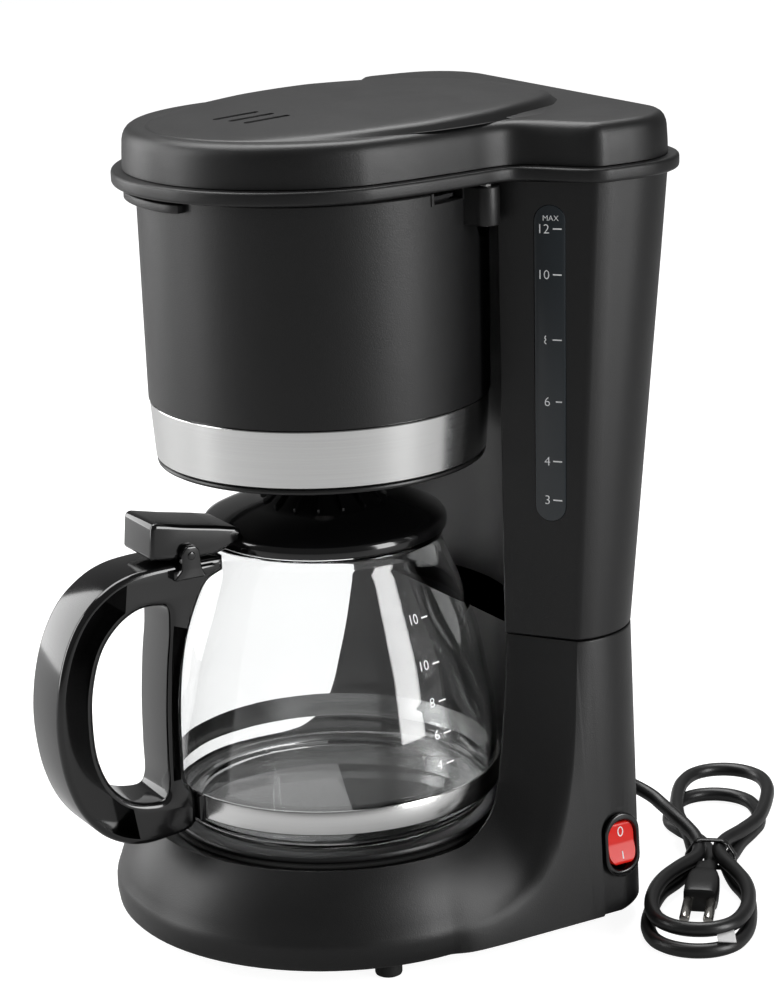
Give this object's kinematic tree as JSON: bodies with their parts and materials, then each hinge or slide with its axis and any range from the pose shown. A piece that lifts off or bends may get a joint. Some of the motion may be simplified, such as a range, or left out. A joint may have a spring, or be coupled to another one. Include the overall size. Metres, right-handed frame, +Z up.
{
  "type": "drip coffee maker",
  "caption": "Black drip coffee maker with swing-out filter holder, steel band, glass jug on a hot plate, hinged tank lid, sight window, red rocker switch and mains cord.",
  "frame": {"origin": "point on the surface the machine stands on, on the shared vertical axis of the jug, hot plate and filter holder; also the middle of the machine's plan box, its free cord not counted", "axes": "+Z up, machine front and jug handle towards -Y, sight window and switch on the +X side"},
  "size_m": [0.2286, 0.3294, 0.3192],
  "materials": {
    "housing": "matt fine-grained black polypropylene",
    "gloss": "polished black plastic",
    "steel": "brushed",
    "glass": "clear borosilicate glass",
    "window": "translucent grey-blue sight window",
    "rubber": "matt rubber",
    "cord": "semi-gloss black PVC",
    "red": "translucent red",
    "plate": "dark non-stick coating",
    "aluminium": "cast",
    "hose": "milky silicone",
    "white": "natural moulding",
    "basket": "satin black",
    "mesh": "fine nylon mesh",
    "silicone": "grey silicone rubber",
    "wire": "red insulation"
  },
  "bodies": {
    "machine": {"base_housing": "housing", "bottom_cover": "housing", "foot_front_right": "rubber", "foot_front_left": "rubber", "foot_rear_right": "rubber", "foot_rear_left": "rubber", "screw_1": "steel", "screw_2": "steel", "screw_3": "steel", "screw_4": "steel", "tank_housing": "housing", "level_window": "window", "top_frame": "housing", "lid_hinge_pin": "steel", "holder_hinge_pin": "steel", "hot_plate": "plate", "plate_gasket": "rubber", "heater_tube": "aluminium", "heater_bracket": "steel", "thermostat": "white", "thermal_fuse": "white", "check_valve": "white", "inlet_hose": "hose", "outlet_hose": "hose", "riser_tube": "white", "spray_arm": "white", "hose_clamp_1": "steel", "hose_clamp_2": "steel", "hose_clamp_3": "steel", "hose_clamp_4": "steel", "switch_body": "gloss", "wire_live": "wire", "wire_neutral": "wire", "strain_relief": "cord", "cord_lead": "cord", "cord_hank_near": "cord", "cord_hank_far": "cord", "cord_tie": "cord", "plug_body": "cord", "plug_pin_1": "steel", "plug_pin_2": "steel"},
    "lid": {"lid": "housing"},
    "rocker": {"rocker": "red"},
    "holder": {"filter_holder": "housing", "steel_band": "steel", "holder_trim": "gloss", "valve_cage": "white", "filter_basket": "basket", "mesh_filter": "mesh", "valve_spring": "steel"},
    "valve": {"drip_valve": "silicone"},
    "jug": {"glass_jug": "glass", "jug_band": "steel", "jug_handle": "gloss", "jug_lid_pin": "steel", "jug_band_screw": "steel"},
    "jug_lid": {"jug_lid": "gloss"}
  },
  "joints": [
    {"name": "lid_hinge", "type": "hinge", "parent": "machine", "child": "lid", "pos_m": [0, 0.1192, 0.3025], "axis": [-1, 0, 0], "range_deg": [0, 80]},
    {"name": "holder_swing", "type": "hinge", "parent": "machine", "child": "holder", "pos_m": [0.062, 0.038, 0.28], "axis": [0, 0, 1], "range_deg": [0, 80]},
    {"name": "valve_lift", "type": "slide", "parent": "holder", "child": "valve", "axis": [0, 0, 1], "range_m": [0, 0.004], "stiffness_N_per_m": 60, "springref_m": -0.004, "deforming": ["valve_spring"]},
    {"name": "jug_slide", "type": "slide", "parent": "machine", "child": "jug", "axis": [0, -1, 0], "range_m": [0, 0.17]},
    {"name": "jug_lid_hinge", "type": "hinge", "parent": "jug", "child": "jug_lid", "pos_m": [0, -0.0655, 0.1586], "axis": [1, 0, 0], "range_deg": [0, 4]},
    {"name": "switch_rocker", "type": "hinge", "parent": "machine", "child": "rocker", "pos_m": [0.08391, 0.077, 0.034], "axis": [0, 1, 0], "range_deg": [0, 14]}
  ]
}
